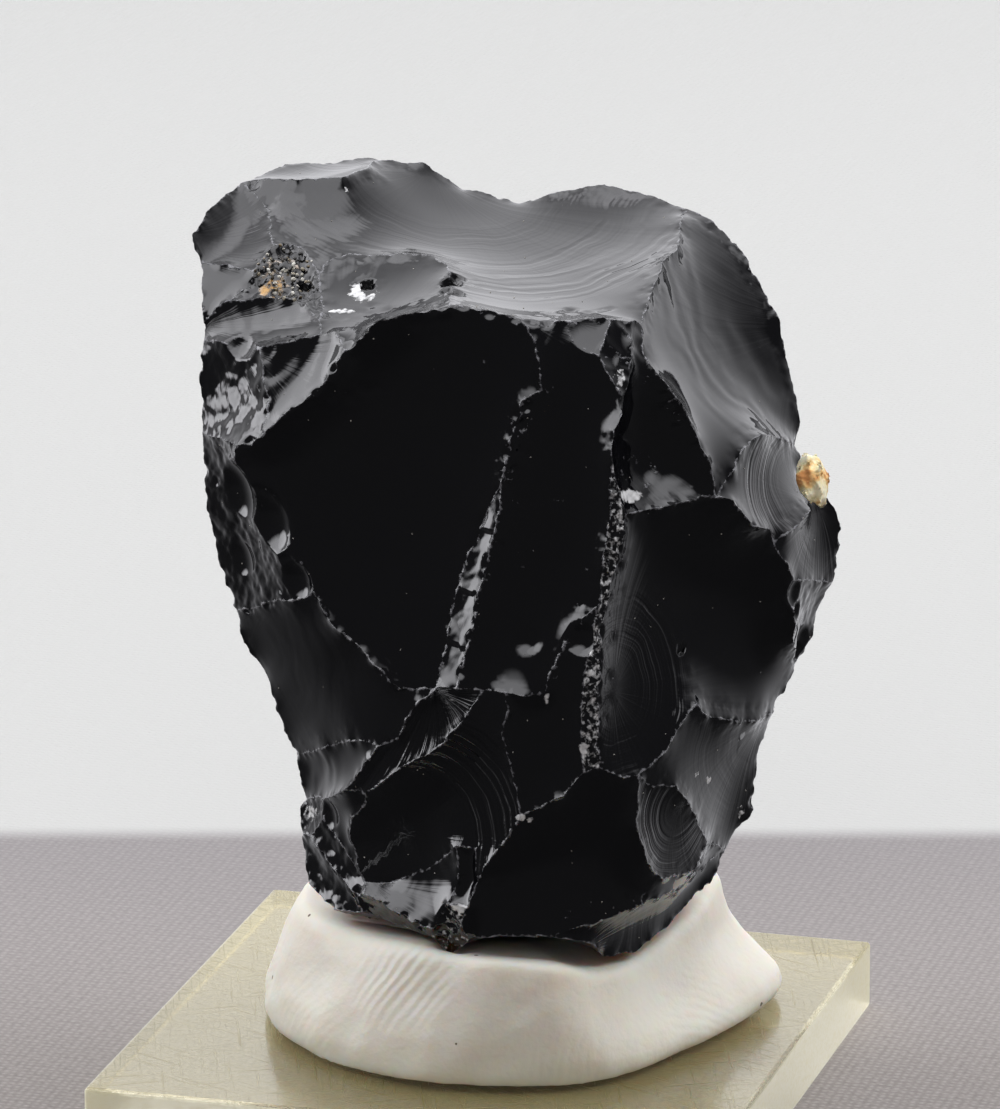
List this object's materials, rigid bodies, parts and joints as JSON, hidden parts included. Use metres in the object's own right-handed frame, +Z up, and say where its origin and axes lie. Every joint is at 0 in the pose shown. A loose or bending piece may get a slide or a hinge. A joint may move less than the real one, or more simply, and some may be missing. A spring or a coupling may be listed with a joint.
{
  "type": "slag glass chunk",
  "caption": "Broken lump of glossy black slag glass standing in a lump of cream putty on a clear square acrylic display base.",
  "frame": {"origin": "centre of the acrylic base's underside", "axes": "+Z up; X and Y along the edges of the square base, with the pictured face of the glass turned 15.5 degrees from -Y"},
  "size_m": [0.0321, 0.032, 0.0446],
  "materials": {
    "slag_glass": "opaque black glass, glossy conchoidal scars with fine ripples, a few white bruises and bubbles",
    "ochre_crust": "crumbly cream and ochre earth crust, matt",
    "mineral_putty": "cream-white mineral tack, matt, with fingerprint ridges",
    "clear_acrylic": "clear cast acrylic, slightly yellowed, polished edges"
  },
  "bodies": {
    "root": {"glass_chunk": "slag_glass", "ochre_crust": "ochre_crust", "mounting_putty": "mineral_putty", "acrylic_base": "clear_acrylic"}
  },
  "joints": []
}
